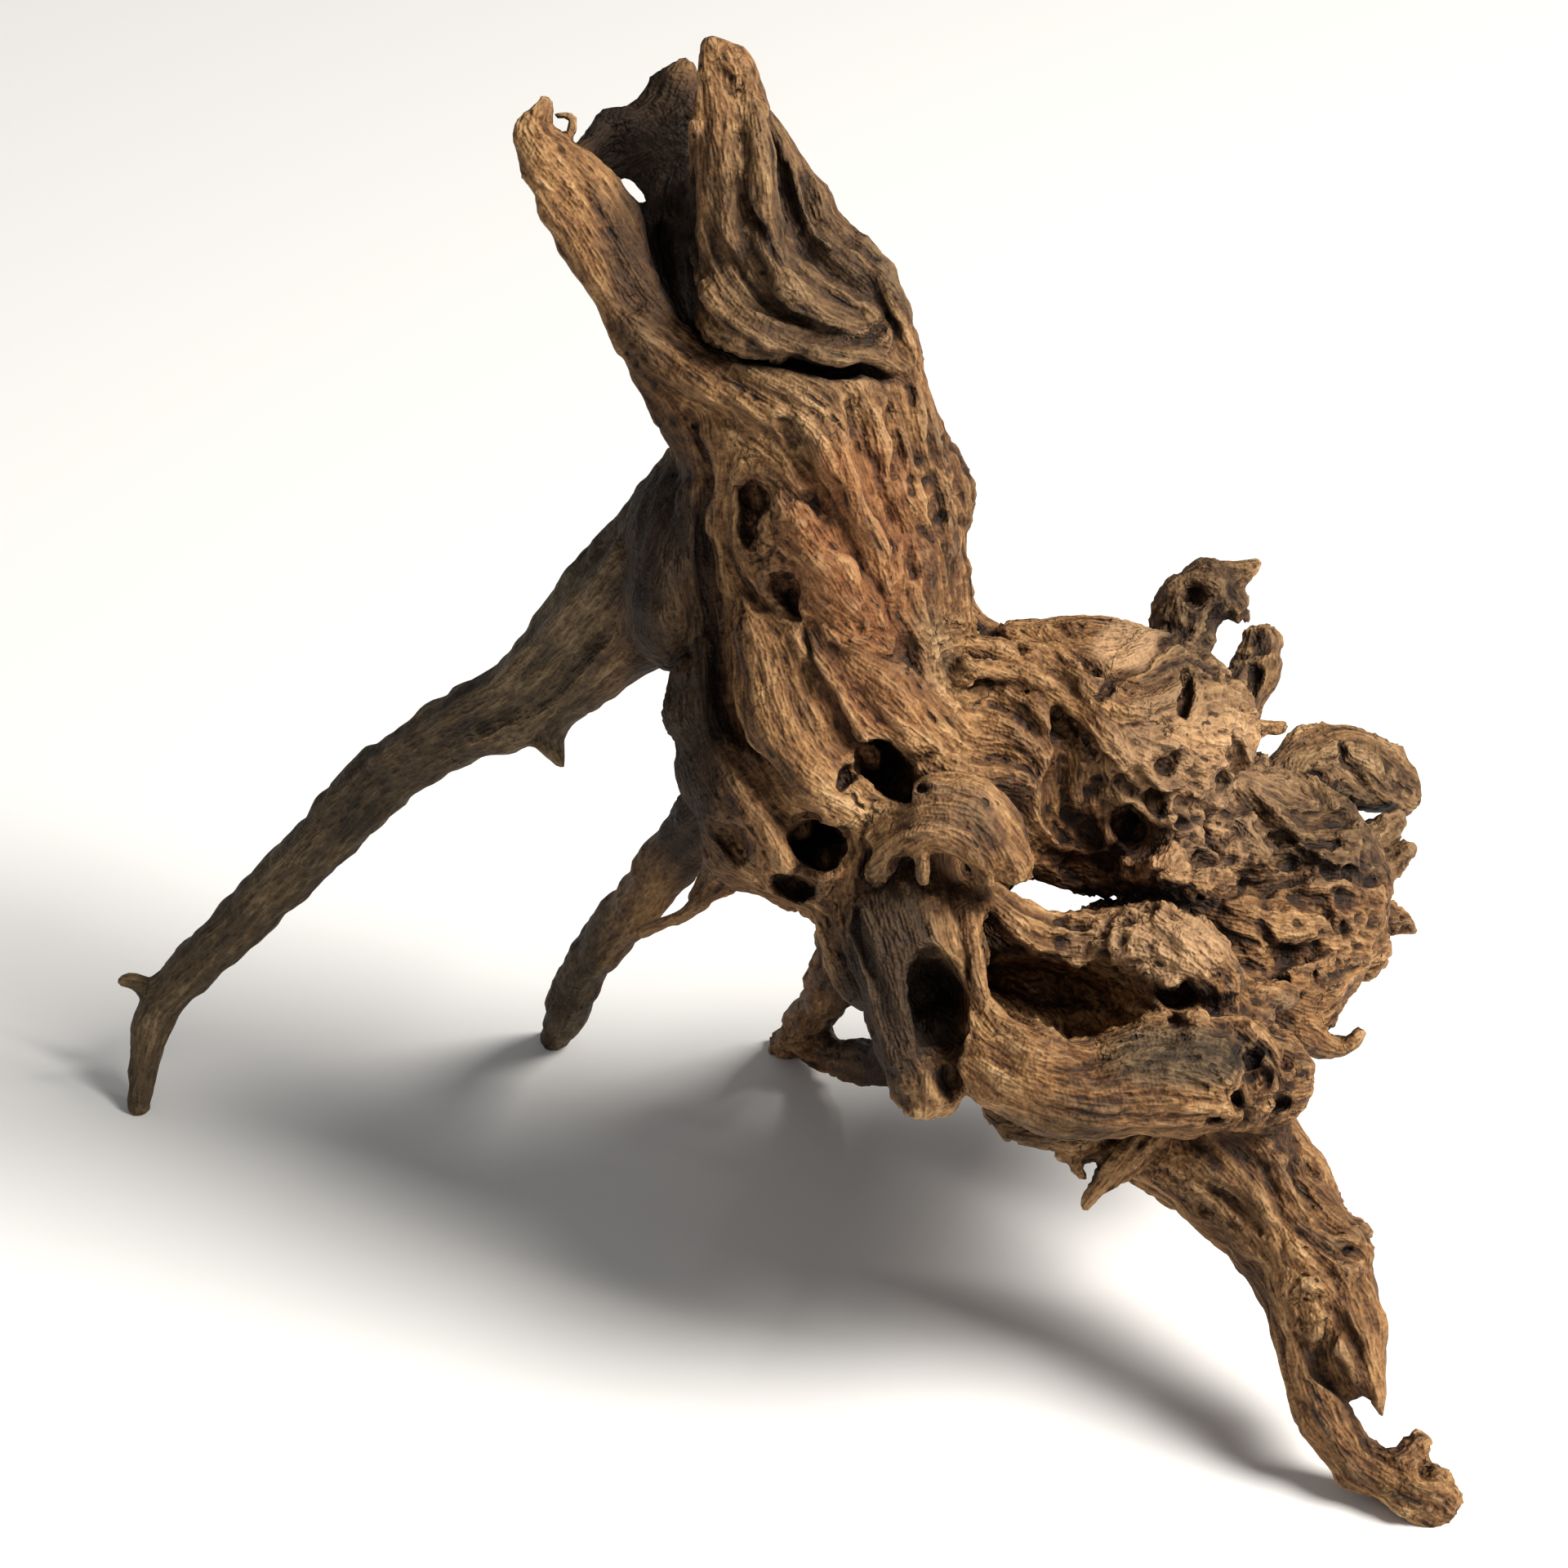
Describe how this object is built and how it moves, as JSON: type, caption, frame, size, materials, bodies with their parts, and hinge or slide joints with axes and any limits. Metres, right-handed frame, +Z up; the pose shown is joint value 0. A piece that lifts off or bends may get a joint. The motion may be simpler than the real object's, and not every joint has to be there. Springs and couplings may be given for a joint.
{
  "type": "piece of driftwood",
  "caption": "Gnarled, hollow piece of weathered root wood that stands on its limb tips, as decor or as a climbing and hiding place in a tank.",
  "frame": {"origin": "middle of the bounding box, on the floor that the limb tips stand on", "axes": "+X to the right as the picture shows it, from the long left limb to the right foot; +Y away from the viewer; +Z up"},
  "size_m": [0.4415, 0.2781, 0.4066],
  "materials": {
    "wood": "weathered, matt, golden brown"
  },
  "bodies": {
    "root": {"driftwood": "wood"}
  },
  "joints": []
}
